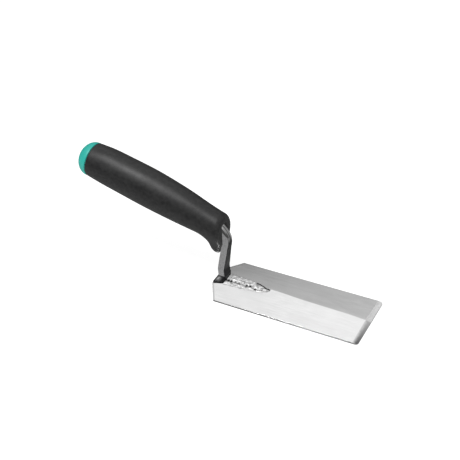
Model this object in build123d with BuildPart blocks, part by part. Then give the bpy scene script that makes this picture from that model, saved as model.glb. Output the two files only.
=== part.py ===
from build123d import *
import os

# Margin trowel: a flat steel blade with a low central spine, a cranked forged shank welded to the
# blade's heel, and a two-layer handle (hard core, soft grip) closed by a coloured end cap.
# Millimetres. +X runs along the blade to its front edge, +Z is up, and the origin is the centre of
# the blade's flat underside. The whole tool is symmetric about the XZ plane.

# ---- blade ----
blade_length = 127.0
blade_width = 50.8
edge_thickness = 1.2
spine_height_rear = 4.6
spine_height_front = 2.0
heel_depth = 9.5
heel_flat_width = 19.2
bevel_length = 4.0
bevel_edge_thickness = 0.5
bevel_spine_thickness = 0.7
corner_radius = 1.2

# ---- shank: foot pad, tongue, riser and tang ----
bar_thickness = 6.0
bar_width_foot = 9.8
bar_width_crank = 6.0
bar_corner = 1.0
pad_length = 8.8
pad_width_heel = 19.0
pad_width_front = 12.4
pad_base_z = 3.2
pad_top_z = 8.2
tongue_root = 1.5
riser_foot_x = -57.0
riser_knee = (-57.9, 14.0)
knee_radius = 16.0
crank_forward = 3.4
crank_radius = 12.0
foot_sink = 1.0
tang_length = 62.0
tang_end_thickness = 3.2
tang_end_width = 4.6

# Tongue sections: place along the blade, half width, height of its ridge above the blade's spine.
tongue_sections = (
    (riser_foot_x, 6.2, 1.3),
    (-38.0, 4.6, 0.9),
    (-18.5, 0.9, 0.3),
)

# ---- weld ----
bead_radius = 1.4
bead_corners = ((-52.8, 6.7), (-38.0, 5.0), (-17.0, 0.0))
bead_bend = 40.0

# ---- handle ----
handle_front = (-54.5, 50.5)
handle_pitch = 17.5
front_face_x = -54.2
seam_at = 118.8
butt_radius = 13.6
butt_droop = 5.5
dome_height = 11.0
seam_gap = 0.4
seam_depth = 0.9
core_wall = 3.2
core_start = 7.0
core_groove_width = 4.0
core_groove_radius = 10.2
core_groove_stations = (50.0, 70.0, 90.0)
spigot_radius = 7.5
spigot_length = 14.0
front_rounding = 1.8
slot_clearance = 0.45

# Grip sections: distance behind the front face, half width, half height, rise of the centre, and
# how far the section leans back as the handle bows down towards its butt.
grip_sections = (
    (-8.0, 10.8, 11.2, -0.1, 0.0),
    (16.0, 11.6, 12.5, -0.2, 0.0),
    (40.0, 13.3, 14.4, 0.2, 0.0),
    (66.0, 14.4, 15.5, 0.3, 0.0),
    (90.0, 14.3, 15.3, -0.2, -1.5),
    (106.0, 14.1, 14.9, -0.7, -4.0),
    (seam_at, butt_radius, butt_radius, -1.5, -butt_droop),
)

# Guard sections: rise from the handle's axis, distance behind the front face, half length, half width.
guard_sections = (
    (-2.0, 7.0, 13.5, 9.4),
    (-10.0, 5.2, 11.2, 8.5),
    (-14.5, 2.6, 7.8, 7.6),
    (-19.0, 1.1, 6.1, 6.4),
    (-22.4, 1.0, 3.3, 3.4),
)

heel_x = -blade_length / 2
toe_x = blade_length / 2
half_width = blade_width / 2


def spine_height(x):
    """Height of the blade's central ridge at a place along its length."""
    share = (x - heel_x) / blade_length
    return spine_height_rear + (spine_height_front - spine_height_rear) * share


def roof_height(x, y):
    """Height of the blade's upper surface."""
    share = abs(y) / half_width
    return spine_height(x) + (edge_thickness - spine_height(x)) * share


def roof_section(half, edge, ridge, base=0.0):
    """Corners of a pitched cross-section, for a sketch on a YZ plane."""
    return [(-half, base), (half, base), (half, edge), (0, ridge), (-half, edge)]


def bar_section(plane, width, margin=0.0):
    """The bar's rounded cross-section on a plane, grown by a margin for the slot that clears it."""
    with BuildSketch(plane) as section:
        RectangleRounded(width + 2 * margin, bar_thickness + 2 * margin, bar_corner)
    return section.sketch


# The handle's own axes: "along" runs from the front face to the butt, "up" is square to it.
handle_side = Plane(
    origin=(handle_front[0], 0, handle_front[1]),
    x_dir=Vector(-1, 0, 0).rotate(Axis.Y, handle_pitch),
    z_dir=(0, 1, 0),
)


def handle_point(distance, rise=0.0):
    """A point of the symmetry plane, given in the handle's own axes."""
    return handle_side.from_local_coords(Vector(distance, rise, 0))


def handle_plane(distance, rise=0.0, lean=0.0):
    """A plane across the handle, facing the butt and leaning by some degrees."""
    facing = handle_side.x_dir.rotate(Axis.Y, lean)
    return Plane(origin=handle_point(distance, rise), x_dir=(0, -1, 0), z_dir=facing)


# ---------------------------------------------------------------- blade
with BuildPart() as blade:
    bevel_x = toe_x - bevel_length
    with BuildSketch(Plane.YZ.offset(heel_x)):
        Polygon(*roof_section(half_width, edge_thickness, spine_height_rear), align=None)
    with BuildSketch(Plane.YZ.offset(bevel_x)):
        Polygon(*roof_section(half_width, edge_thickness, spine_height(bevel_x)), align=None)
    with BuildSketch(Plane.YZ.offset(toe_x)):
        Polygon(*roof_section(half_width, bevel_edge_thickness, bevel_spine_thickness), align=None)
    loft(ruled=True)
    # The plan outline cuts the heel's two corners away.
    with BuildSketch():
        with BuildLine():
            Polyline(
                (toe_x, -half_width),
                (toe_x, half_width),
                (heel_x + heel_depth, half_width),
                (heel_x, heel_flat_width / 2),
                (heel_x, -heel_flat_width / 2),
                (heel_x + heel_depth, -half_width),
                close=True,
            )
        make_face()
        fillet(vertices().group_by(Axis.X)[-1], corner_radius)
    extrude(amount=spine_height_rear + 1, mode=Mode.INTERSECT)
blade.part.label = "blade"

# ---------------------------------------------------------------- shank
crank_point = handle_point(-crank_forward)
tang_start_at = crank_radius
tang_start = handle_point(tang_start_at)
foot_z = spine_height(riser_foot_x) - foot_sink

with BuildPart() as shank:
    with BuildLine() as shank_path:
        FilletPolyline(
            (riser_foot_x, 0, foot_z),
            (riser_knee[0], 0, riser_knee[1]),
            crank_point,
            tang_start,
            radius=[knee_radius, crank_radius],
        )
    bar_start = Plane(origin=shank_path.line @ 0, x_dir=(0, 1, 0), z_dir=shank_path.line % 0)
    bar_end = Plane(origin=shank_path.line @ 1, x_dir=(0, 1, 0), z_dir=shank_path.line % 1)
    # The bar narrows from its foot to the crank.
    bar_ends = [bar_section(bar_start, bar_width_foot), bar_section(bar_end, bar_width_crank)]
    sweep(bar_ends, path=shank_path.line, multisection=True)
    # The tang tapers inside the handle.
    with BuildSketch(handle_plane(tang_start_at)):
        RectangleRounded(bar_width_crank, bar_thickness, bar_corner)
    with BuildSketch(handle_plane(tang_length)):
        RectangleRounded(tang_end_width, tang_end_thickness, bar_corner)
    loft()
    # The foot: a pad that flares out from the riser over the heel flat, and a tongue that follows
    # the blade's spine.
    with BuildSketch(Plane.XY.offset(pad_base_z)):
        pad_front = heel_x + pad_length
        Polygon(
            (heel_x, -pad_width_heel / 2),
            (pad_front, -pad_width_front / 2),
            (pad_front, pad_width_front / 2),
            (heel_x, pad_width_heel / 2),
            align=None,
        )
    with BuildSketch(Plane.XY.offset(pad_top_z)):
        with Locations((riser_foot_x, 0)):
            Rectangle(bar_thickness, bar_width_foot)
    loft(ruled=True)
    for tongue_x, half, proud in tongue_sections:
        with BuildSketch(Plane.YZ.offset(tongue_x)):
            tongue_edge = roof_height(tongue_x, half) + proud / 2
            Polygon(*roof_section(half, tongue_edge, spine_height(tongue_x) + proud, tongue_root), align=None)
    loft(ruled=True)
    add(blade.part, mode=Mode.SUBTRACT)
shank.part.label = "shank"

# ---------------------------------------------------------------- weld
# One fillet bead up each side of the tongue; the two meet at its tip.
with BuildPart() as weld:
    with BuildLine() as bead_path:
        FilletPolyline(*((x, -y, roof_height(x, y)) for x, y in bead_corners), radius=bead_bend)
    with BuildSketch(Plane(origin=bead_path.line @ 0, z_dir=bead_path.line % 0)):
        Circle(bead_radius)
    sweep(path=bead_path.line)
    with Locations(bead_path.line @ 0, bead_path.line @ 1):
        Sphere(bead_radius)
    mirror(about=Plane.XZ)
    add(blade.part, mode=Mode.SUBTRACT)
    add(shank.part, mode=Mode.SUBTRACT)
weld.part.label = "weld"

# ---------------------------------------------------------------- end cap
with BuildPart() as end_cap:
    butt_plane = handle_plane(seam_at, grip_sections[-1][3], -butt_droop)
    with BuildSketch(Plane(origin=butt_plane.origin, x_dir=butt_plane.z_dir, z_dir=(0, 1, 0))):
        with BuildLine():
            EllipticalCenterArc((seam_gap, 0), dome_height, butt_radius, start_angle=0, arc_size=90)
            Polyline(
                (seam_gap, butt_radius),
                (seam_gap, butt_radius - seam_depth),
                (0, butt_radius - seam_depth),
                (0, spigot_radius),
                (-spigot_length, spigot_radius),
                (-spigot_length, 0),
                (seam_gap + dome_height, 0),
            )
        make_face()
    revolve(axis=Axis(butt_plane.origin, butt_plane.z_dir))
end_cap.part.label = "end_cap"

# ---------------------------------------------------------------- handle core
clear_of_core = 2 * butt_radius
with BuildPart() as handle_core:
    for distance, across, height, rise, lean in grip_sections[1:]:
        with BuildSketch(handle_plane(distance, rise, lean)):
            Ellipse(across - core_wall, height - core_wall)
    loft()
    with BuildSketch(handle_plane(core_start, grip_sections[1][3])):
        Ellipse(grip_sections[1][1] - core_wall, grip_sections[1][2] - core_wall)
    extrude(amount=grip_sections[1][0] - core_start)
    # Ring grooves that the soft grip is moulded into.
    for station in core_groove_stations:
        with BuildSketch(handle_plane(station)):
            Circle(clear_of_core)
            Circle(core_groove_radius, mode=Mode.SUBTRACT)
        extrude(amount=core_groove_width, mode=Mode.SUBTRACT)
    add(shank.part, mode=Mode.SUBTRACT)
    add(end_cap.part, mode=Mode.SUBTRACT)
handle_core.part.label = "handle_core"

# ---------------------------------------------------------------- soft grip
front_cut = Plane(origin=(front_face_x, 0, 0), z_dir=(-1, 0, 0))
with BuildPart() as grip:
    for distance, across, height, rise, lean in grip_sections:
        with BuildSketch(handle_plane(distance, rise, lean)):
            Ellipse(across, height)
    loft()
    split(bisect_by=front_cut, keep=Keep.TOP)
    fillet(faces().sort_by(Axis.X)[-1].edges(), front_rounding)
    # The finger guard hangs down at the front.
    for rise, distance, half_length, across in guard_sections:
        guard_plane = Plane(origin=handle_point(distance, rise), x_dir=(0, 1, 0), z_dir=-handle_side.y_dir)
        with BuildSketch(guard_plane):
            Ellipse(across, half_length)
    loft()
    split(bisect_by=front_cut, keep=Keep.TOP)
    # A close slot lets the cranked shank through the front face.
    slot_ends = [
        bar_section(bar_start, bar_width_foot, slot_clearance),
        bar_section(bar_end, bar_width_crank, slot_clearance),
    ]
    sweep(slot_ends, path=shank_path.line, multisection=True, mode=Mode.SUBTRACT)
    add(handle_core.part, mode=Mode.SUBTRACT)
    add(shank.part, mode=Mode.SUBTRACT)
    add(end_cap.part, mode=Mode.SUBTRACT)
grip.part.label = "grip"

os.makedirs("parts", exist_ok=True)
for piece in (blade, shank, weld, handle_core, grip, end_cap):
    export_step(piece.part, f"parts/{piece.part.label}.step")
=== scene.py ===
"""Margin trowel: finished meshes, materials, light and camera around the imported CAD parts.

The builder functions work in millimetres in the part's own frame (+X to the blade's front edge, +Y to
its left side, +Z up), and place() turns each finished mesh into metres. The near side is -Y, where the
camera stands. The floor, the light and the camera are given in metres.
"""

import math

import bmesh
import bpy
import numpy as np
from mathutils import Matrix, Vector, noise


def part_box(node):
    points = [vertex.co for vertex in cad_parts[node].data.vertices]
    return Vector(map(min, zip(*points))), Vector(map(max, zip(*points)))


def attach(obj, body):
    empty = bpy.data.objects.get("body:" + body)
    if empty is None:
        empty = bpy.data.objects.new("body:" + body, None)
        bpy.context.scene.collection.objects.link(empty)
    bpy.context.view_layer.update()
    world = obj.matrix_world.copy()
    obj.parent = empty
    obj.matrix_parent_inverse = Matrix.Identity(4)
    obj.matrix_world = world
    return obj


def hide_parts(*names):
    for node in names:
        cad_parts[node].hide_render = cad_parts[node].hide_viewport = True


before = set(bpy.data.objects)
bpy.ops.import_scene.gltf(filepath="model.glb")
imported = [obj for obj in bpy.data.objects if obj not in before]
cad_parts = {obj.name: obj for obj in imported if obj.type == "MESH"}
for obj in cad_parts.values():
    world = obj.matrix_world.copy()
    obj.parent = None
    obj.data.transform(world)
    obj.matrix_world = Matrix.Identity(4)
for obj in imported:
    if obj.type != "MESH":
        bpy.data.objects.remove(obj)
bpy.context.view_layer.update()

MM = 0.001


def box_mm(node):
    """Lowest and highest corner of a CAD node, in millimetres."""
    low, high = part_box(node)
    return low / MM, high / MM


blade_low, blade_high = box_mm("blade")
grip_high = box_mm("grip")[1]
cap_high = box_mm("end_cap")[1]

# ---- blade ----
heel_x = blade_low.x
toe_x = blade_high.x
blade_length = toe_x - heel_x
half_width = blade_high.y
spine_rear = blade_high.z
spine_front = 2.0
edge_thickness = 1.2
heel_depth = 9.5
heel_half_flat = 9.6
clip_blend = 0.5
bevel_x = toe_x - 4.0
bevel_edge = 0.5
bevel_spine = 0.7
corner_radius = 2.2
edge_round = 0.14
ridge_softness = 0.35
ridge_wander = 0.8
wander_fade = 20.0
dressing_x = -11.0
dressing_length = 12.0
dressing_shift = 0.8

# ---- shank ----
bar_half_thickness = 3.05
bar_half_width_foot = 5.0
bar_half_width_crank = 2.8
bar_squareness = 7.0
bar_points = 44
pad_length = 8.8
pad_half_width_heel = 10.0
pad_half_width_front = 5.8
pad_skew = -1.4
pad_squareness = 9.0
pad_base_z = 3.0
pad_side_height = 1.4
pad_top_z = 8.2
tongue_base_z = 1.5
# Unevenness of the forging: feature size and depth.
forging_lumps = ((9.0, 0.22), (2.5, 0.07))
foot = Vector((-57.0, 0, 3.6))
knee = Vector((-57.9, 0, 14.0))
knee_radius = 16.0
crank_forward = 3.4
crank_radius = 12.0
tang_length = 62.0
tang_end_half = (2.3, 1.6)
# Tongue sections: place along the blade, half width, and height over the ridge. The weld covers them.
tongue_sections = ((-57.0, 6.2, -0.35), (-38.0, 4.6, -0.35), (-18.5, 0.9, -0.35))

# ---- painted light on the shank: a painted highlight in a patch on the pad and on the riser's far rim, and painted shade in the crank ----
highlight_patch = Vector((-59.3, 6.4, 6.6))
highlight_radius = 1.9
highlight_strength = 0.25
# The rim's painted highlight runs between two shares of the way up the riser.
rim_from = 0.4
rim_until = 0.85
rim_fade = 0.1
rim_widening = 4.5
rim_edge = 0.6
# The crank's painted shade lies between two distances from the centre of its bend, on the near side.
bend_centre = Vector((-65.0, 0, 41.2))
crank_shade_reach = 12.2
crank_shade_limit = 15.0
crank_shade_edge = 0.6
crank_shade_foot_z = 43.5
crank_shade_foot_fade = 1.5
crank_shade_full_z = 48.4
crank_shade_flare = 0.7
crank_shade_limit_edge = 0.5
crank_shade_turn_z = 50.2
crank_shade_turn_fade = 2.4
crank_shade_side = 1.0
crank_shade_side_edge = 0.8

# ---- weld: along the blade, the near edge, the crevice between its two beads, and the far edge ----
weld_lines = (
    (-55.0, -8.0, -2.9, 6.4),
    (-49.0, -7.7, -2.6, 5.7),
    (-42.0, -7.2, -2.5, 5.2),
    (-36.7, -6.7, -2.4, 4.9),
    (-33.6, -6.4, -1.9, 4.6),
    (-29.0, -6.0, -3.5, 4.2),
    (-25.0, -5.4, -3.0, 2.8),
    (-21.5, -4.0, -1.8, 1.4),
    (-18.0, -1.6, -0.4, 1.2),
)
bead_height = 0.6
crevice_depth = 0.8
crevice_share = 0.3
# Where each bead starts to fall to its edge, as a share of its width.
near_crest = 0.25
far_crest = 0.82
undercut_crest = 0.45
undercut_from = -31.0
levelling = 1.5
tip_taper = 7.0
thinnest_weld = 0.02
ripple_pitch = 1.7
ripple_bow = 2.0
ripple_depth = 0.05
# Lumps in the weld: noise layer, feature size and height.
weld_lumps = ((0.0, 2.6, 0.32), (9.0, 1.3, 0.17))
pit_depth = 0.8
wander_size = 2.2
near_wander = 0.9
far_wander = 0.7
# Painted shade along a line of the weld: how far on the line's near side, width and strength.
crevice_shade = (0.0, 0.5, 0.9)
far_edge_shadow = (0.8, 0.7, 0.8)
undercut_shadow = (0.6, 0.9, 1.0)
undercut_fade = 1.5
far_blend = 0.55
# The weld's grid: its step along the blade, its points across, and how far its edges go into the blade.
weld_step = 0.28
weld_points_across = 52
weld_skirt = 0.6
# Slag pits left between the beads and by the far edge: place along, place across and radius.
slag_pits = (
    (-52.6, -2.8, 1.3), (-50.2, -2.7, 1.2), (-36.9, -2.4, 1.0), (-34.0, -1.9, 1.1), (-29.2, -3.7, 1.0),
    (-30.2, 3.6, 1.0), (-22.0, 1.0, 0.8),
)

# ---- handle ----
handle_front = Vector((-54.5, 0, 50.5))
handle_pitch = math.radians(17.5)
front_face_x = grip_high.x
seam_at = 118.8
butt_radius = cap_high.y
dome_height = 11.0
seam_gap = 0.4
seam_depth = 0.9
spigot_radius = 7.5
spigot_length = 14.0
front_round = 3.0
fan_until = 34.0
search_reach = 34.0
search_halvings = 26
slot_margin = 0.9
slot_outer_gap = 1.9

# Grip sections: distance behind the handle's front, half width, half height, rise, lean in degrees.
grip_sections = (
    (-8.0, 10.8, 11.2, -0.1, 0.0),
    (16.0, 11.6, 12.5, -0.2, 0.0),
    (40.0, 13.3, 14.4, 0.2, 0.0),
    (66.0, 14.4, 15.5, 0.3, 0.0),
    (90.0, 14.3, 15.3, -0.2, -1.5),
    (106.0, 14.1, 14.9, -0.7, -4.0),
    (seam_at, butt_radius, butt_radius, -1.5, -5.5),
)

# Guard sections: rise from the handle's axis, distance behind its front, half length, half width.
guard_sections = (
    (-23.3, 1.2, 0.4, 0.4),
    (-22.4, 1.0, 3.6, 3.6),
    (-19.0, 1.0, 6.2, 6.3),
    (-14.5, 2.4, 7.8, 7.4),
    (-10.0, 4.2, 10.4, 7.6),
    (-2.0, 6.0, 12.5, 7.6),
)
guard_blend = 6.0
guard_top = -3.0

# ---- light ----
tent_light = 0.45
backdrop_light = 1.0
horizon_light = 0.15
# Changes in the brightness that reflections see: from and to elevation in degrees, and the change.
sky_bands = ((18, 33, 0.38), (38.5, 44.5, 0.51), (46, 58, -0.30))

# ---- directions: back along the handle, up from it, and to its left side ----
along = Vector((-math.cos(handle_pitch), 0, math.sin(handle_pitch)))
upward = Vector((math.sin(handle_pitch), 0, math.cos(handle_pitch)))
sideways = Vector((0, 1, 0))


# ================================================================ mesh helpers
def ring_loft(bm, rings):
    """Adds a closed skin through rings of the same number of points."""
    skin_rows(bm, [[bm.verts.new(point) for point in ring] for ring in rings])


def skin_rows(bm, rows):
    """Adds the faces of a closed skin through rings of vertices."""
    count = len(rows[0])
    for lower, upper in zip(rows, rows[1:]):
        for i in range(count):
            j = (i + 1) % count
            bm.faces.new((lower[i], lower[j], upper[j], upper[i]))
    bm.faces.new(list(reversed(rows[0])))
    bm.faces.new(rows[-1])


def new_object(name, bm):
    """An object from a finished bmesh, its faces turned outwards."""
    bmesh.ops.recalc_face_normals(bm, faces=bm.faces)
    mesh = bpy.data.meshes.new(name)
    bm.to_mesh(mesh)
    bm.free()
    piece = bpy.data.objects.new(name, mesh)
    bpy.context.scene.collection.objects.link(piece)
    return piece


def settle(piece):
    """Applies the object's modifiers to its mesh."""
    bpy.context.view_layer.update()
    evaluated = piece.evaluated_get(bpy.context.evaluated_depsgraph_get())
    final = bpy.data.meshes.new_from_object(evaluated)
    piece.modifiers.clear()
    piece.data = final


def cast(piece, voxel, smoothing):
    """Fuses the object's overlapping shells into one skin and softens its edges, as casting would."""
    remesh = piece.modifiers.new("fuse", "REMESH")
    remesh.mode = "VOXEL"
    remesh.voxel_size = voxel
    smooth = piece.modifiers.new("soften", "SMOOTH")
    smooth.factor = 0.5
    smooth.iterations = smoothing
    settle(piece)


def roughen(piece, layers):
    """Moves each vertex along its normal by noise; layers are (feature size, depth) pairs."""
    moved = []
    for vertex in piece.data.vertices:
        push = sum(noise.noise(vertex.co / size) * depth for size, depth in layers)
        moved.append(vertex.co + vertex.normal * push)
    for vertex, place_at in zip(piece.data.vertices, moved):
        vertex.co = place_at


def place(piece, node, materials, smooth_angle=35):
    """Turns a millimetre mesh into a finished piece in metres that stands for a CAD node."""
    piece.data.transform(Matrix.Scale(MM, 4))
    piece.data.shade_smooth()
    piece.data.set_sharp_from_angle(angle=math.radians(smooth_angle))
    for material in materials:
        piece.data.materials.append(material)
    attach(piece, "root")
    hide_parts(node)
    return piece


def bell(distance, width):
    """1 at no distance, falling smoothly to nothing well past the width."""
    return math.exp(-((distance / width) ** 2))


def unevenness(x, y, layer, size):
    """Smooth noise over the blade's plan, one pattern for each layer, with features of the given size."""
    return noise.noise(Vector((x, y, layer)) / size)


def ease(share):
    """A smooth step from 0 to 1 as share goes from 0 to 1."""
    share = min(max(share, 0.0), 1.0)
    return share * share * (3 - 2 * share)


def curve_value(table, at, column):
    """A smooth value between the rows of a table whose first column increases."""
    rows = len(table)
    k = max(0, min(rows - 2, sum(row[0] <= at for row in table) - 1))
    left, right = table[k], table[k + 1]
    span = right[0] - left[0]

    def slope(i):
        before, after = table[max(i - 1, 0)], table[min(i + 1, rows - 1)]
        return (after[column] - before[column]) / (after[0] - before[0])

    t = min(max((at - left[0]) / span, 0.0), 1.0)
    a, b = left[column], right[column]
    bend = t * (1 - t) * span
    return a + (b - a) * ease(t) + bend * ((1 - t) * slope(k) - t * slope(k + 1))


def superellipse(half_a, half_b, power, count):
    """Points round a rounded rectangle: the higher the power, the squarer its corners."""
    points = []
    for i in range(count):
        angle = math.tau * i / count
        c, s = math.cos(angle), math.sin(angle)
        a = math.copysign(abs(c) ** (2 / power), c) * half_a
        b = math.copysign(abs(s) ** (2 / power), s) * half_b
        points.append((a, b))
    return points


def filleted_path(corners, radii, step):
    """Points along a polyline whose inner corners are rounded, as (place, direction) pairs."""
    stations = []
    start = corners[0]
    for before, corner, after, radius in zip(corners, corners[1:], corners[2:], radii):
        into, out = (corner - before).normalized(), (after - corner).normalized()
        turn = into.angle(out)
        reach = radius * math.tan(turn / 2)
        stations += straight_run(start, corner - into * reach, step)
        inward = (out - into * into.dot(out)).normalized()
        centre = corner - into * reach + inward * radius
        steps = max(2, round(radius * turn / step))
        for k in range(steps):
            angle = turn * k / steps
            offset = into * math.sin(angle) - inward * math.cos(angle)
            facing = into * math.cos(angle) + inward * math.sin(angle)
            stations.append((centre + offset * radius, facing))
        start = corner + out * reach
    return stations + straight_run(start, corners[-1], step, closed=True)


def straight_run(start, end, step, closed=False):
    """Points from start towards end, with the end itself only when closed."""
    direction = (end - start).normalized()
    steps = max(1, round((end - start).length / step))
    count = steps + 1 if closed else steps
    return [(start.lerp(end, k / steps), direction) for k in range(count)]


# ================================================================ node helpers
def grey(value):
    """A neutral colour."""
    return value, value, value


def new_material(name, colour, metallic, roughness, specular=0.5):
    """A material with its shader's plain values set, as (material, node tree, shader)."""
    material = bpy.data.materials.new(name)
    material.use_nodes = True
    shader = material.node_tree.nodes["Principled BSDF"]
    shader.inputs["Base Color"].default_value = (*colour, 1)
    shader.inputs["Metallic"].default_value = metallic
    shader.inputs["Roughness"].default_value = roughness
    shader.inputs["Specular IOR Level"].default_value = specular
    return material, material.node_tree, shader


def noise_value(tree, size, detail=3.0, rough=0.5, distortion=0.0):
    """A noise whose features have the given size in millimetres along X, Y and Z."""
    where = tree.nodes.new("ShaderNodeTexCoord")
    scale = tree.nodes.new("ShaderNodeMapping")
    scale.inputs["Scale"].default_value = tuple(1 / (s * MM) for s in size)
    tree.links.new(where.outputs["Object"], scale.inputs["Vector"])
    pattern = tree.nodes.new("ShaderNodeTexNoise")
    pattern.inputs["Scale"].default_value = 1.0
    pattern.inputs["Detail"].default_value = detail
    pattern.inputs["Roughness"].default_value = rough
    pattern.inputs["Distortion"].default_value = distortion
    tree.links.new(scale.outputs["Vector"], pattern.inputs["Vector"])
    return pattern.outputs["Fac"]


def remap(tree, value, low, high, to_low=0.0, to_high=1.0, smooth=False):
    """value moved from the range low..high to to_low..to_high, held at its ends."""
    node = tree.nodes.new("ShaderNodeMapRange")
    node.interpolation_type = "SMOOTHSTEP" if smooth else "LINEAR"
    node.inputs["From Min"].default_value = low
    node.inputs["From Max"].default_value = high
    node.inputs["To Min"].default_value = to_low
    node.inputs["To Max"].default_value = to_high
    tree.links.new(value, node.inputs["Value"])
    return node.outputs["Result"]


def feed(tree, socket, value):
    """Gives a socket another node's output, a colour's three numbers or a plain number."""
    if isinstance(value, bpy.types.NodeSocket):
        tree.links.new(value, socket)
    elif isinstance(value, tuple):
        socket.default_value = (*value, 1)
    else:
        socket.default_value = value


def combine(tree, operation, a, b=0.0):
    """A math node on one or two values, each an output or a number."""
    node = tree.nodes.new("ShaderNodeMath")
    node.operation = operation
    feed(tree, node.inputs[0], a)
    feed(tree, node.inputs[1], b)
    return node.outputs["Value"]


def mix_colour(tree, share, first, second):
    """A colour between two, each an output or three numbers."""
    node = tree.nodes.new("ShaderNodeMix")
    node.data_type = "RGBA"
    feed(tree, node.inputs["Factor"], share)
    feed(tree, node.inputs[6], first)
    feed(tree, node.inputs[7], second)
    return node.outputs[2]


def mix_value(tree, share, first, second):
    """A number between two, each an output or a number."""
    node = tree.nodes.new("ShaderNodeMix")
    node.data_type = "FLOAT"
    feed(tree, node.inputs["Factor"], share)
    feed(tree, node.inputs[2], first)
    feed(tree, node.inputs[3], second)
    return node.outputs[0]


def object_place(tree):
    """Where a point is on its object, as outputs X, Y and Z in metres."""
    split = tree.nodes.new("ShaderNodeSeparateXYZ")
    tree.links.new(tree.nodes.new("ShaderNodeTexCoord").outputs["Object"], split.inputs["Vector"])
    return split.outputs


def layer_value(tree, name):
    """The value that a mesh layer holds at each point."""
    node = tree.nodes.new("ShaderNodeAttribute")
    node.attribute_name = name
    return node.outputs["Fac"]


def waver(tree, pattern, depth):
    """A noise turned into a change to either side of zero."""
    return combine(tree, "MULTIPLY", combine(tree, "SUBTRACT", pattern, 0.5), depth)


def bump(tree, height, depth, strength=1.0):
    """A bump of the given depth in millimetres."""
    node = tree.nodes.new("ShaderNodeBump")
    node.inputs["Strength"].default_value = strength
    node.inputs["Distance"].default_value = depth * MM
    tree.links.new(height, node.inputs["Height"])
    return node.outputs["Normal"]


# ================================================================ materials
def brushed_blade():
    """Blade steel with a fine linear grind along its length, and painted shade along the heel's clipped
    corners.
    """
    material, tree, shader = new_material("blade_brushed", grey(0.80), metallic=1.0, roughness=0.3)
    grain = noise_value(tree, size=(30, 0.35, 0.35), detail=4.0, rough=0.6)
    streaks = noise_value(tree, size=(60, 2.2, 2.2), detail=3.0, rough=0.55)
    clouds = noise_value(tree, size=(22, 10, 10), detail=4.0, rough=0.6, distortion=0.6)
    tone = combine(tree, "MULTIPLY", grain, 0.35)
    for pattern, weight in ((streaks, 0.2), (clouds, 0.45)):
        tone = combine(tree, "ADD", tone, combine(tree, "MULTIPLY", pattern, weight))
    share = remap(tree, tone, 0.38, 0.62)
    steel = mix_colour(tree, share, grey(0.80), grey(0.92))
    # Painted shade: the heel's clipped corners are painted darker.
    heel_painted_shade = remap(tree, inside_clip(tree), 1.8 * MM, 3.2 * MM, 1.0, 0.0, smooth=True)
    steel = mix_colour(tree, heel_painted_shade, steel, grey(0.62))
    tree.links.new(steel, shader.inputs["Base Color"])
    tree.links.new(remap(tree, tone, 0.35, 0.65, 0.13, 0.18), shader.inputs["Roughness"])
    tree.links.new(bump(tree, grain, depth=0.006), shader.inputs["Normal"])
    return material


def inside_clip(tree):
    """How far inside the heel's clipped corners a point of the blade is, measured across the blade."""
    at = object_place(tree)
    clip_slope = (half_width - heel_half_flat) / heel_depth
    clipped = combine(tree, "MULTIPLY", at["X"], clip_slope)
    clipped = combine(tree, "ADD", clipped, (heel_half_flat - heel_x * clip_slope) * MM)
    aside = combine(tree, "ABSOLUTE", at["Y"])
    return combine(tree, "SUBTRACT", clipped, aside)


def cut_edge_steel():
    """The blade's cut edges, ground across, with short scratches."""
    dark, light = grey(0.20), grey(0.36)
    material, tree, shader = new_material("blade_cut_edge", dark, metallic=1.0, roughness=0.35)
    scratches = noise_value(tree, size=(0.25, 6, 0.4), detail=4.0, rough=0.65)
    share = remap(tree, scratches, 0.35, 0.65)
    tree.links.new(mix_colour(tree, share, dark, light), shader.inputs["Base Color"])
    tree.links.new(remap(tree, scratches, 0.3, 0.7, 0.4, 0.55), shader.inputs["Roughness"])
    tree.links.new(bump(tree, scratches, depth=0.02), shader.inputs["Normal"])
    return material


def toe_bevel_steel():
    """The ground toe with painted reflection: painted shade darkening it towards its edge on the near
    half, a painted bright reflection on the far half.
    """
    material, tree, shader = new_material("blade_ground_toe", grey(0.6), metallic=1.0, roughness=0.35)
    at = object_place(tree)
    scratches = noise_value(tree, size=(1.8, 0.6, 0.6), detail=4.0, rough=0.65)
    reach = combine(tree, "ADD", at["X"], waver(tree, scratches, 4.0 * MM))
    # Painted shade: the near half darkens towards the toe's edge, standing in for a dark reflection.
    toe_shade_share = remap(tree, reach, (bevel_x - 0.4) * MM, (toe_x - 1.2) * MM, smooth=True)
    toward_ridge = remap(tree, at["Y"], -half_width * MM, 0.0)
    toe_painted_dark = mix_colour(tree, toward_ridge, grey(0.14), grey(0.52))
    ground = mix_colour(tree, toe_shade_share, grey(0.84), toe_painted_dark)
    # Painted reflection: the far half is painted bright, mottled by the scratches.
    toe_bright_mottle = remap(tree, scratches, 0.38, 0.6)
    toe_painted_bright = mix_colour(tree, toe_bright_mottle, grey(0.72), grey(0.98))
    far_half = remap(tree, at["Y"], 0.0, 0.8 * MM)
    tree.links.new(mix_colour(tree, far_half, ground, toe_painted_bright), shader.inputs["Base Color"])
    tree.links.new(remap(tree, scratches, 0.3, 0.7, 0.3, 0.45), shader.inputs["Roughness"])
    tree.links.new(bump(tree, scratches, depth=0.02), shader.inputs["Normal"])
    return material


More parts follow.
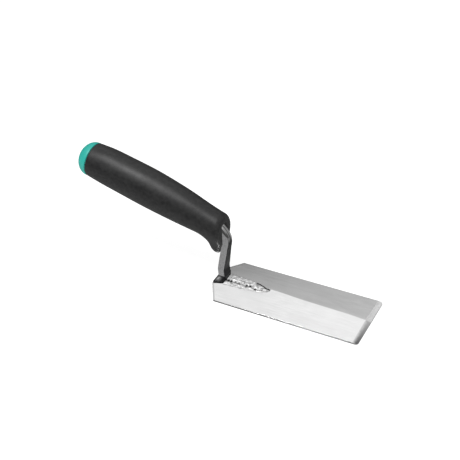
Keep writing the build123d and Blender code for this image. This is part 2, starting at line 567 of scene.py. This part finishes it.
def forged_steel():
    """Forged bar: dark scale on broad faces and pad, partly painted shade by facing, brighter sides,
    painted highlight streaks and painted shade at the crank, and a painted highlight on the pad and rim.
    """
    material, tree, shader = new_material("forged_steel", grey(0.2), metallic=1.0, roughness=0.42)
    facing = tree.nodes.new("ShaderNodeSeparateXYZ")
    tree.links.new(tree.nodes.new("ShaderNodeNewGeometry").outputs["Normal"], facing.inputs["Vector"])
    at = object_place(tree)
    mottle = noise_value(tree, size=(4, 4, 6), detail=5.0, rough=0.6)
    pits = noise_value(tree, size=(0.7, 0.7, 0.9), detail=4.0, rough=0.6)
    pitted = remap(tree, pits, 0.35, 0.6)

    # Dark scale stays on the faces that look forwards or backwards and on the pad, unevenly worn; their
    # darkness against the brighter sides is also painted shade by facing.
    broad = combine(tree, "ABSOLUTE", facing.outputs["X"])
    on_pad = remap(tree, at["Z"], 8.0 * MM, 9.5 * MM, 1.0, 0.0, smooth=True)
    scale_and_painted_shade = combine(tree, "MAXIMUM", broad, on_pad)
    scale_and_painted_shade = combine(tree, "ADD", scale_and_painted_shade, waver(tree, mottle, 0.35))
    scale_and_painted_shade = remap(tree, scale_and_painted_shade, 0.45, 0.8, smooth=True)
    side = mix_colour(tree, pitted, (0.44, 0.44, 0.445), (0.62, 0.62, 0.625))
    scale = mix_colour(tree, pitted, (0.018, 0.018, 0.019), (0.05, 0.05, 0.052))
    bar = mix_colour(tree, scale_and_painted_shade, side, scale)

    # At the crank the broad faces get painted highlight streaks, with a painted dark line of shade along
    # their middle.
    bent = remap(tree, at["Z"], 39.5 * MM, 44.0 * MM, smooth=True)
    flank = combine(tree, "ABSOLUTE", facing.outputs["Y"])
    on_crank = combine(tree, "MULTIPLY", bent, remap(tree, flank, 0.35, 0.75, 1.0, 0.0))
    shade_line_wobble = noise_value(tree, size=(10, 1.6, 10), detail=2.0)
    aside = combine(tree, "ADD", at["Y"], waver(tree, shade_line_wobble, 1.2 * MM))
    aside = combine(tree, "ABSOLUTE", aside)
    off_shade_line = remap(tree, aside, 0.2 * MM, 0.7 * MM, smooth=True)
    # Painted highlight streaks, with a painted dark line of shade between them.
    streaks = mix_colour(tree, off_shade_line, grey(0.10), grey(0.50))
    bar = mix_colour(tree, on_crank, bar, streaks)
    # Painted shade round the outside of the crank's bend.
    bar = mix_colour(tree, layer_value(tree, "crank_painted_shade"), bar, grey(0.15))
    # Painted highlight on the pad's patch and along the riser's far rim.
    bar = mix_colour(tree, layer_value(tree, "shank_painted_highlight"), bar, grey(0.90))

    # The tongue, in front of the pad and low down, is ground bright.
    on_tongue = remap(tree, at["X"], -52.8 * MM, -52.0 * MM, smooth=True)
    low_down = remap(tree, at["Z"], 6.5 * MM, 7.5 * MM, 1.0, 0.0, smooth=True)
    ground = combine(tree, "MULTIPLY", on_tongue, low_down)
    tree.links.new(mix_colour(tree, ground, bar, (0.84, 0.84, 0.83)), shader.inputs["Base Color"])
    tree.links.new(remap(tree, mottle, 0.3, 0.7, 0.34, 0.5), shader.inputs["Roughness"])
    tree.links.new(bump(tree, pits, depth=0.06), shader.inputs["Normal"])
    return material


def weld_metal():
    """Rippled weld: a near bead painted darker and a far bead painted brighter, as painted shade and
    highlight, and painted shade in its crevice, pits and along its far edge.
    """
    material, tree, shader = new_material("weld_metal", (0.8, 0.8, 0.79), metallic=1.0, roughness=0.4)
    lumps = noise_value(tree, size=(3.0, 2.2, 2.2), detail=4.0, rough=0.65)
    fine = noise_value(tree, size=(0.5, 0.5, 0.5), detail=3.0)
    lumpy = remap(tree, lumps, 0.35, 0.6, smooth=True)
    # Painted shade and highlight: the near bead is painted darker than the far bead.
    near_bead = mix_colour(tree, lumpy, grey(0.28), grey(0.58))
    far_bead = mix_colour(tree, lumpy, grey(0.42), grey(0.84))
    metal = mix_colour(tree, layer_value(tree, "far_bead"), near_bead, far_bead)
    # Painted shade in the weld's crevice and pits, and painted shadow along its far edge.
    weld_shade_share = remap(tree, layer_value(tree, "weld_shade"), 0.25, 0.7, smooth=True)
    tree.links.new(mix_colour(tree, weld_shade_share, metal, grey(0.03)), shader.inputs["Base Color"])
    tree.links.new(remap(tree, lumps, 0.3, 0.7, 0.6, 0.45), shader.inputs["Roughness"])
    tree.links.new(bump(tree, fine, depth=0.1), shader.inputs["Normal"])
    return material


def soft_rubber():
    """Soft-touch grip rubber: fine moulded grain, faint handling marks."""
    material, tree, shader = new_material(
        "soft_rubber", grey(0.02), metallic=0.0, roughness=0.45, specular=0.4
    )
    cells = noise_value(tree, size=(0.45, 0.45, 0.45), detail=2.0)
    patches = noise_value(tree, size=(16, 12, 12), detail=4.0, rough=0.55)
    marks = noise_value(tree, size=(3.5, 2.8, 2.8), detail=3.0, rough=0.6)
    share = remap(tree, marks, 0.35, 0.65)
    rubber = mix_colour(tree, share, (0.010, 0.010, 0.0105), (0.021, 0.021, 0.021))
    tree.links.new(rubber, shader.inputs["Base Color"])
    tree.links.new(remap(tree, patches, 0.3, 0.7, 0.42, 0.52), shader.inputs["Roughness"])
    tree.links.new(bump(tree, cells, depth=0.05, strength=0.6), shader.inputs["Normal"])
    return material


def cap_plastic():
    """Satin teal moulded plastic."""
    material, tree, shader = new_material("cap_plastic", (0.015, 0.38, 0.31), metallic=0.0, roughness=0.42)
    cloud = noise_value(tree, size=(7, 7, 7), detail=4.0)
    grain = noise_value(tree, size=(0.4, 0.4, 0.4), detail=2.0)
    share = remap(tree, cloud, 0.3, 0.7)
    teal = mix_colour(tree, share, (0.018, 0.40, 0.335), (0.023, 0.44, 0.37))
    tree.links.new(teal, shader.inputs["Base Color"])
    tree.links.new(remap(tree, cloud, 0.3, 0.7, 0.38, 0.46), shader.inputs["Roughness"])
    tree.links.new(bump(tree, grain, depth=0.02, strength=0.5), shader.inputs["Normal"])
    return material


def core_plastic():
    """Hard black core plastic, seen only through the shank's slot."""
    material, tree, shader = new_material("core_plastic", grey(0.02), metallic=0.0, roughness=0.5)
    grain = noise_value(tree, size=(0.8, 0.8, 0.8), detail=3.0)
    tree.links.new(remap(tree, grain, 0.3, 0.7, 0.42, 0.58), shader.inputs["Roughness"])
    tree.links.new(bump(tree, grain, depth=0.03), shader.inputs["Normal"])
    return material


# ================================================================ blade
def spine_height(x):
    """Height of the blade's ridge at a place along its length."""
    return spine_rear + (spine_front - spine_rear) * (x - heel_x) / blade_length


def blade_half_width(x):
    """Half of the plan outline's width: clipped at the heel, rounded at the toe's corners."""
    clipped = heel_half_flat + (half_width - heel_half_flat) * (x - heel_x) / heel_depth
    width = soft_min(clipped, half_width, clip_blend)
    into_corner = x - (toe_x - corner_radius)
    if into_corner > 0:
        width -= corner_radius - math.sqrt(max(corner_radius**2 - into_corner**2, 0.0))
    return width


def soft_min(a, b, blend):
    """The smaller of two values, with a rounded changeover."""
    share = min(max(0.5 + 0.5 * (b - a) / blend, 0.0), 1.0)
    return b + (a - b) * share - blend * share * (1 - share)


def ridge_offset(x):
    """How far the ridge has wandered sideways, most where the weld's tip was dressed flat."""
    dressed = dressing_shift * bell(x - dressing_x, dressing_length)
    return ridge_wander * min((toe_x - x) / wander_fade, 1.0) + dressed


def roof(x, y):
    """Height of the blade's upper face, its ridge slightly rounded and its toe ground down."""
    aside = y - ridge_offset(x)
    reach = half_width - math.copysign(ridge_offset(x), aside)
    share = min(math.hypot(aside, ridge_softness) / reach, 1.0)
    body = spine_height(x) + (edge_thickness - spine_height(x)) * share
    into_bevel = (x - bevel_x) / (toe_x - bevel_x)
    if into_bevel <= 0:
        return body
    toe = bevel_spine + (bevel_edge - bevel_spine) * share
    return body + (toe - body) * into_bevel


def blade_section(x, inset):
    """One cross-section of the blade, its long edges rounded, drawn in by inset."""
    wide = blade_half_width(x) - inset
    r = min(edge_round, bevel_edge / 3)
    bottom = [(y, inset) for y in np.linspace(-wide + r, wide - r, 9)]
    side = roof(x, wide) - inset
    turns = [math.radians(angle) for angle in (0, 30, 60)]
    lower = [(wide - r + r * math.cos(a), inset + r - r * math.sin(a)) for a in reversed(turns)]
    upper = [(wide - r + r * math.cos(a), side - r + r * math.sin(a)) for a in turns]
    # Places across each half, closer together towards the rounded ridge.
    shares = (1.0, 0.985, 0.8, 0.6, 0.4, 0.2, 0.1, 0.05, 0.02, 0.0)
    ridge = ridge_offset(x)
    left_roof = [ridge + (wide - r - ridge) * s for s in shares]
    right_roof = [ridge - (wide - r + ridge) * s for s in reversed(shares[:-1])]
    roofline = [(y, roof(x, y) - inset) for y in left_roof + right_roof]
    far_side = lower + upper
    near_side = [(-y, z) for y, z in reversed(far_side)]
    return [Vector((x, y, z)) for y, z in bottom + far_side + roofline + near_side]


def build_blade():
    """The blade as cross-sections from its heel to its front edge, closer together where it turns."""
    clip_end = heel_x + heel_depth
    stations = [heel_x + edge_round, heel_x + 3, heel_x + 6]
    stations += [clip_end + offset for offset in (-0.9, -0.45, -0.15, 0.15, 0.45, 0.9)]
    stations += list(np.linspace(clip_end + 4, bevel_x - 2, 24))
    stations += [bevel_x + offset for offset in (-0.25, 0, 0.25, 1.5)]
    corner_start = toe_x - corner_radius
    stations += [corner_start + corner_radius * math.sin(math.radians(a)) for a in (0, 20, 40, 55, 67)]
    rings = [blade_section(heel_x, edge_round)]
    rings += [blade_section(x, 0.0) for x in stations]
    # The last two sections round the front edge over.
    rings += [blade_section(toe_x - 0.03, 0.06), blade_section(toe_x, 0.12)]
    bm = bmesh.new()
    ring_loft(bm, rings)
    piece = new_object("blade_body", bm)
    place(piece, "blade", [brushed_blade(), cut_edge_steel(), toe_bevel_steel()])
    # Faces with a steeper slope than this are cut edges.
    steepest_top = 0.8
    for face in piece.data.polygons:
        if abs(face.normal.z) < steepest_top:
            face.material_index = 1
        elif face.normal.z > 0 and face.center.x > bevel_x * MM:
            face.material_index = 2


# ================================================================ shank
def shank_path(step=0.8):
    """The bar's centreline: up from the pad, round the crank and back into the handle."""
    crank = handle_front - along * crank_forward
    tang_end = handle_front + along * tang_length
    return filleted_path([foot, knee, crank, tang_end], [knee_radius, crank_radius], step)


def bar_half_width_at(risen):
    """The bar's half width by the share of the riser that it has climbed."""
    return bar_half_width_foot + (bar_half_width_crank - bar_half_width_foot) * risen


def bar_rings(path, margin=0.0, outer_gap=0.0):
    """Rounded-rectangle rings along the bar, narrowing up the riser and again along the tang.

    A margin grows them all round, and outer_gap only on the outside of the crank's bend.
    """
    rings = []
    for point, facing in path:
        risen = min(max((point.z - knee.z) / (handle_front.z - knee.z), 0.0), 1.0)
        depth = (point - handle_front).dot(along)
        share = min(max((depth - crank_radius) / (tang_length - crank_radius), 0.0), 1.0)
        wide = bar_half_width_at(risen)
        wide += (tang_end_half[0] - wide) * share + margin
        thick = bar_half_thickness + (tang_end_half[1] - bar_half_thickness) * share + margin
        across = facing.cross(sideways).normalized()
        section = superellipse(wide, thick + outer_gap / 2, bar_squareness, bar_points)
        rings.append([point + sideways * a + across * (b - outer_gap / 2) for a, b in section])
    return rings


def pad_ring(height, spread):
    """One section of the pad: spread is 1 at its base and 0 where it has become the bar."""
    front_x = heel_x + pad_length
    rear = heel_x + (foot.x - bar_half_thickness - heel_x) * (1 - spread)
    front = front_x + (foot.x + bar_half_thickness - front_x) * (1 - spread)
    ring = []
    for a, b in superellipse(1.0, 1.0, pad_squareness, bar_points):
        forward = (a + 1) / 2
        base_half = pad_half_width_heel + (pad_half_width_front - pad_half_width_heel) * forward
        half = bar_half_width_foot + (base_half - bar_half_width_foot) * spread
        skew = pad_skew * forward * spread
        ring.append(Vector((rear + (front - rear) * forward, b * half + skew, height)))
    return ring


def roof_ring(x, half, proud):
    """One five-sided section of the tongue over the blade's ridge."""
    edge = spine_height(x) + (edge_thickness - spine_height(x)) * half / half_width + proud / 2
    base = tongue_base_z
    points = ((-half, base), (half, base), (half, edge), (0, spine_height(x) + proud), (-half, edge))
    return [Vector((x, y, z)) for y, z in points]


def shank_painted_highlight_at(point):
    """How strong the painted highlight is: in a patch on the pad's sides, and along the riser's far rim.
    """
    beside = Vector((point.x, abs(point.y), point.z)) - highlight_patch
    patch = highlight_strength * bell(beside.length, highlight_radius)
    climb = (point.z - knee.z) / (handle_front.z - knee.z)
    above = climb - rim_from
    rim = ease((point.y - bar_half_width_at(climb) + rim_widening * above) / rim_edge)
    rim *= ease(above / rim_fade) * (1 - ease((climb - rim_until) / rim_fade))
    return max(patch, rim)


def crank_painted_shade_at(point):
    """How dark the crank's painted shade is: on the near side of the crank, round the outside of its bend.
    """
    out = math.hypot(point.x - bend_centre.x, point.z - bend_centre.z)
    beside = -point.y - crank_shade_side
    crank_shade_from = crank_shade_reach + crank_shade_flare * max(crank_shade_full_z - point.z, 0.0)
    crank_shade = ease((out - crank_shade_from) / crank_shade_edge) * ease((point.z - crank_shade_foot_z) / crank_shade_foot_fade)
    low_part = ease((crank_shade_turn_z - point.z) / crank_shade_turn_fade)
    within = ease((crank_shade_limit - out) / crank_shade_limit_edge)
    limit = low_part * ease(beside / crank_shade_side_edge) + (1 - low_part) * within
    return crank_shade * limit * ease(beside / crank_shade_limit_edge)


def build_shank():
    """Pad, tongue, riser, crank and tang, fused and slightly uneven like a forging."""
    bm = bmesh.new()
    ring_loft(bm, bar_rings(shank_path()))
    pad_sections = ((pad_base_z, 1.0), (pad_base_z + pad_side_height, 1.0), (pad_top_z, 0.0))
    ring_loft(bm, [pad_ring(height, spread) for height, spread in pad_sections])
    ring_loft(bm, [roof_ring(*section) for section in tongue_sections])
    piece = new_object("shank_forging", bm)
    cast(piece, voxel=0.3, smoothing=2)
    roughen(piece, forging_lumps)
    # Painted highlight and painted shade, stored on the forging's points.
    for name, value_at in (("shank_painted_highlight", shank_painted_highlight_at), ("crank_painted_shade", crank_painted_shade_at)):
        layer = piece.data.attributes.new(name, "FLOAT", "POINT")
        for vertex in piece.data.vertices:
            layer.data[vertex.index].value = value_at(vertex.co)
    return place(piece, "shank", [forged_steel()])


# ================================================================ weld
def weld_shade_along(line, y, weld_shade):
    """How much painted shade a place gets beside a line of the weld."""
    beside, width, strength = weld_shade
    return strength * bell(y - line + beside, width)


def weld_shade_at(x, y, crevice, far, on_far):
    """How much painted shade the weld gets: along its crevice, painted shadow in specks by its far edge
    and all along the undercut.
    """
    patches = 0.42 + unevenness(x, 0.0, 4.0, 1.5)
    speckle = 0.3 + unevenness(x, y, 7.0, 1.2)
    weld_shade = weld_shade_along(crevice, y, crevice_shade) * patches
    if on_far and x > undercut_from:
        begun = min(1.0, (x - undercut_from) / undercut_fade)
        mottled = 0.75 + 0.5 * speckle
        return max(weld_shade, weld_shade_along(far, y, undercut_shadow) * begun * mottled)
    if on_far:
        return max(weld_shade, weld_shade_along(far, y, far_edge_shadow) * speckle)
    return weld_shade


def weld_height(x, y, near, crevice, far):
    """Height of the weld's skin above the blade, how much painted shade it gets, and how much of the far
    bead it is.
    """
    on_far = y >= crevice
    undercut = on_far and x > undercut_from
    edge = far if on_far else near
    width = max(abs(edge - crevice), 0.1)
    share = abs(y - crevice) / width
    crest = near_crest
    levelled = 0.0
    if undercut:
        crest = undercut_crest
    elif on_far:
        crest = far_crest
        levelled = max(roof(x, ridge_offset(x)) - roof(x, y), 0.0)
    taper = min(1.0, (weld_lines[-1][0] - x) / tip_taper)
    rise = 1 - crevice_depth * (1 - ease(share / crevice_share))
    fall = 1 - ease((share - crest) / (1 - crest))
    height = (bead_height * rise + levelling * levelled) * taper * fall
    ripple = math.cos(math.tau * (x + ripple_bow * (share - 0.5) ** 2 * width) / ripple_pitch)
    lumps = sum(unevenness(x, y, layer, size) * depth for layer, size, depth in weld_lumps)
    height += (ripple_depth * ripple + lumps) * math.sqrt(fall) * taper
    pits = [bell(math.hypot(x - pit_x, y - pit_y), radius) for pit_x, pit_y, radius in slag_pits]
    height -= pit_depth * sum(pits)
    # The pits and the weld's lines get painted shade.
    weld_shade = max(weld_shade_at(x, y, crevice, far, on_far), *pits)
    return max(height, thinnest_weld), weld_shade, ease(share / far_blend) if on_far else 0.0


def build_weld():
    """Two rippled beads laid side by side over the tongue, with slag pits, mostly between them."""
    bm = bmesh.new()
    # Painted shade for each point of the weld.
    weld_shade_layer = bm.verts.layers.float.new("weld_shade")
    far_layer = bm.verts.layers.float.new("far_bead")
    rows = []
    for x in np.arange(weld_lines[0][0], weld_lines[-1][0], weld_step):
        near, crevice, far = (curve_value(weld_lines, x, k) for k in (1, 2, 3))
        near += unevenness(x, 2.0, 0.0, wander_size) * near_wander
        far += unevenness(x, 5.0, 0.0, wander_size) * far_wander
        row = [bm.verts.new((x, near, roof(x, near) - weld_skirt))]
        for y in np.linspace(near, far, weld_points_across):
            height, weld_shade, far_bead = weld_height(x, y, near, crevice, far)
            vertex = bm.verts.new((x, y, roof(x, y) + height))
            vertex[weld_shade_layer] = weld_shade
            vertex[far_layer] = far_bead
            row.append(vertex)
        row.append(bm.verts.new((x, far, roof(x, far) - weld_skirt)))
        rows.append(row)
    skin_rows(bm, rows)
    piece = new_object("weld_bead", bm)
    return place(piece, "weld", [weld_metal()], smooth_angle=70)


# ================================================================ handle
def handle_section(distance):
    """Centre and upward direction of a section of the grip, with its half width and half height."""
    across, height, rise, lean = (curve_value(grip_sections, distance, k) for k in (1, 2, 3, 4))
    centre = handle_front + along * distance + upward * rise
    tilt = Matrix.Rotation(math.radians(lean), 3, "Y")
    return centre, tilt @ upward, across, height


def grip_radius(centre, up, across, height, angles):
    """Distance from a section's centre to the grip's skin, along each of the given angles."""
    direction = np.outer(np.cos(angles), np.array(sideways)) + np.outer(np.sin(angles), np.array(up))
    oval = 1 / np.sqrt((np.cos(angles) / across) ** 2 + (np.sin(angles) / height) ** 2)
    low, high = np.zeros(len(angles)), np.full(len(angles), search_reach)
    origin = np.array(centre) - np.array(handle_front)
    rises = [row[0] for row in guard_sections]
    for _ in range(search_halvings):
        r = (low + high) / 2
        point = origin + direction * r[:, None]
        rise = point @ np.array(upward)
        back = point @ np.array(along)
        columns = ([row[k] for row in guard_sections] for k in (1, 2, 3))
        middle, reach, wide = (np.interp(rise, rises, column) for column in columns)
        span = np.hypot(point[:, 1] / wide, (back - middle) / reach)
        guard = (span - 1) * np.minimum(wide, reach)
        guard = np.maximum(guard, np.maximum(rises[0] - rise, rise - guard_top))
        skin = r - oval
        share = np.clip(0.5 + 0.5 * (guard - skin) / guard_blend, 0, 1)
        field = guard + (skin - guard) * share - guard_blend * share * (1 - share)
        low = np.where(field < 0, r, low)
        high = np.where(field < 0, high, r)
    return (low + high) / 2


def build_grip():
    """The soft grip: an oval body that runs into a finger guard, with a slot for the shank."""
    angles = np.linspace(0, math.tau, 120, endpoint=False)
    upright = Vector((0, 0, 1))
    rings = []

    def ring(centre, up, across, height, inset=0.0):
        radius = grip_radius(centre, up, across, height, angles) - inset
        return [
            centre + sideways * (math.cos(a) * r) + up * (math.sin(a) * r)
            for a, r in zip(angles, radius)
        ]

    # The butt's flat end comes first, then sections that turn from square to the axis to upright
    # towards the front, and then the front's rounded rim.
    centre, up, across, height = handle_section(seam_at)
    for inset in (4.0, 1.0, 0.3, 0.08):
        rings.append(ring(centre, up, across, height, inset=inset))
    for distance in np.arange(seam_at - 0.5, front_round + 1.2, -0.8):
        centre, up, across, height = handle_section(distance)
        turned = max(0.0, 1 - distance / fan_until)
        up = up.lerp(upright, ease(turned)).normalized()
        rings.append(ring(centre, up, across, height))
    for angle in (0, 15, 30, 45, 60, 75, 90):
        inset = front_round * (1 - math.cos(math.radians(angle)))
        back = front_round * (1 - math.sin(math.radians(angle)))
        distance = (handle_front.x - front_face_x + back) / math.cos(handle_pitch)
        centre, _, across, height = handle_section(distance)
        centre.x = front_face_x - back
        rings.append(ring(centre, upright, across, height, inset=inset))
    bm = bmesh.new()
    ring_loft(bm, rings)
    piece = new_object("grip_cover", bm)

    cutter_mesh = bmesh.new()
    ring_loft(cutter_mesh, bar_rings(shank_path(), slot_margin, slot_outer_gap))
    cutter = new_object("slot_cutter", cutter_mesh)
    slot = piece.modifiers.new("slot", "BOOLEAN")
    slot.operation = "DIFFERENCE"
    slot.solver = "EXACT"
    slot.object = cutter
    settle(piece)
    cast(piece, voxel=0.4, smoothing=9)
    bpy.data.objects.remove(cutter)
    return place(piece, "grip", [soft_rubber()], smooth_angle=180)


def build_end_cap():
    """The domed cap, turned about the butt's axis, with its neck and spigot."""
    centre, up, _, _ = handle_section(seam_at)
    outward = up.cross(sideways)
    neck_radius = butt_radius - seam_depth
    lip = 0.5
    pole = 0.02
    dome_steps = 22
    profile = [(-spigot_length, pole), (-spigot_length, spigot_radius), (0.0, spigot_radius)]
    profile += [(0.0, neck_radius), (seam_gap * 0.6, neck_radius)]
    # The groove at the seam ends in a rounded edge: distance past the groove, and drop.
    for ahead, drop in ((0.0, 0.35), (0.12, 0.1), (0.4, 0.0)):
        profile.append((seam_gap + ahead, butt_radius - drop))
    for k in range(1, dome_steps):
        angle = math.radians(90 * k / dome_steps)
        rise = (dome_height - lip) * math.sin(angle)
        profile.append((seam_gap + lip + rise, butt_radius * math.cos(angle)))
    profile.append((seam_gap + dome_height, pole))
    rings = []
    for distance, radius in profile:
        rings.append([
            centre + outward * distance + (sideways * math.cos(a) + up * math.sin(a)) * radius
            for a in np.linspace(0, math.tau, 96, endpoint=False)
        ])
    bm = bmesh.new()
    ring_loft(bm, rings)
    piece = new_object("cap_dome", bm)
    return place(piece, "end_cap", [cap_plastic()])


# ================================================================ stage
def build_stage():
    """A plain pale floor that runs out past every view."""
    reach = 6.0
    level = -0.0002
    bm = bmesh.new()
    corners = ((-reach, -reach), (reach, -reach), (reach, reach), (-reach, reach))
    bm.faces.new([bm.verts.new((x, y, level)) for x, y in corners])
    floor = new_object("floor", bm)
    material, tree, shader = new_material(
        "floor_paper", grey(0.5), metallic=0.0, roughness=0.9, specular=0.1
    )
    tooth = noise_value(tree, size=(4, 4, 4), detail=4.0)
    tree.links.new(bump(tree, tooth, depth=0.1, strength=0.2), shader.inputs["Normal"])
    shader.inputs["Emission Color"].default_value = (1, 1, 1, 1)
    shader.inputs["Emission Strength"].default_value = 0.8
    floor.data.materials.append(material)
    floor.visible_glossy = False


def softbox(name, position, target, width, height, watts):
    """A rectangular area light aimed at a point."""
    data = bpy.data.lights.new(name, "AREA")
    data.shape = "RECTANGLE"
    data.size = width
    data.size_y = height
    data.energy = watts
    light = bpy.data.objects.new(name, data)
    light.location = position
    light.rotation_euler = (Vector(target) - Vector(position)).to_track_quat("-Z", "Y").to_euler()
    light.visible_camera = False
    bpy.context.scene.collection.objects.link(light)


def brightness_in_gloss(tree):
    """How bright each direction is in reflections: bands by elevation that give the steel its contrast."""
    split = tree.nodes.new("ShaderNodeSeparateXYZ")
    tree.links.new(tree.nodes.new("ShaderNodeTexCoord").outputs["Generated"], split.inputs["Vector"])
    toward = split.outputs

    # The floor's bounce, from below the horizon, is stronger on the near side.
    below = remap(tree, toward["Z"], -0.42, -0.09, 1.0, 0.0, smooth=True)
    near_side = remap(tree, toward["Y"], -0.5, 0.5, 0.36, 0.15, smooth=True)
    bounce = combine(tree, "MULTIPLY", below, near_side)

    # From the horizon up it is lighter ahead of the blade, and then it changes by elevation.
    in_front = remap(tree, toward["X"], 0.48, 0.75, 0.0, 0.35, smooth=True)
    above = remap(tree, toward["Z"], -0.3, 0.0, smooth=True)
    ahead = combine(tree, "MULTIPLY", in_front, above)
    brightness = combine(tree, "ADD", bounce, combine(tree, "ADD", ahead, horizon_light))
    for low, high, change in sky_bands:
        low, high = math.sin(math.radians(low)), math.sin(math.radians(high))
        part = remap(tree, toward["Z"], low, high, 0.0, change, smooth=True)
        brightness = combine(tree, "ADD", part, brightness)
    return brightness


def build_light():
    """A white tent for soft light, whose reflections have bands of their own, and one soft key light."""
    world = bpy.data.worlds.new("studio")
    bpy.context.scene.world = world
    world.use_nodes = True
    tree = world.node_tree
    background = tree.nodes["Background"]
    background.inputs["Color"].default_value = (1, 1, 1, 1)
    ray = tree.nodes.new("ShaderNodeLightPath").outputs
    strength = mix_value(tree, ray["Is Glossy Ray"], tent_light, brightness_in_gloss(tree))
    strength = mix_value(tree, ray["Is Camera Ray"], strength, backdrop_light)
    tree.links.new(strength, background.inputs["Strength"])
    softbox("key", (-0.17, -0.26, 0.80), target=(-0.10, 0, 0.07), width=0.32, height=0.24, watts=3.8)
    bpy.context.scene.view_settings.view_transform = "Standard"


def build_camera():
    """The camera: aimed at the front of the handle, from the blade's near side and above."""
    azimuth = math.radians(31.07)
    elevation = math.radians(35.24)
    roll = math.radians(-4.21)
    distance = 0.6722
    aim = Vector((-0.0497, 0.0, 0.0512))
    back = Vector((
        math.sin(azimuth) * math.cos(elevation),
        -math.cos(azimuth) * math.cos(elevation),
        math.sin(elevation),
    ))
    data = bpy.data.cameras.new("camera")
    data.lens = 70.43
    data.sensor_width = 36.0
    camera = bpy.data.objects.new("camera", data)
    turn = (-back).to_track_quat("-Z", "Y").to_matrix() @ Matrix.Rotation(roll, 3, "Z")
    camera.matrix_world = Matrix.Translation(aim + back * distance) @ turn.to_4x4()
    bpy.context.scene.collection.objects.link(camera)
    bpy.context.scene.camera = camera


build_blade()
build_weld()
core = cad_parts["handle_core"]
core.data.materials.clear()
core.data.materials.append(core_plastic())
# The blade reflects only the studio, so what stands above it is kept out of reflections.
for above_blade in (build_shank(), build_grip(), build_end_cap(), core):
    above_blade.visible_glossy = False
build_stage()
build_light()
build_camera()
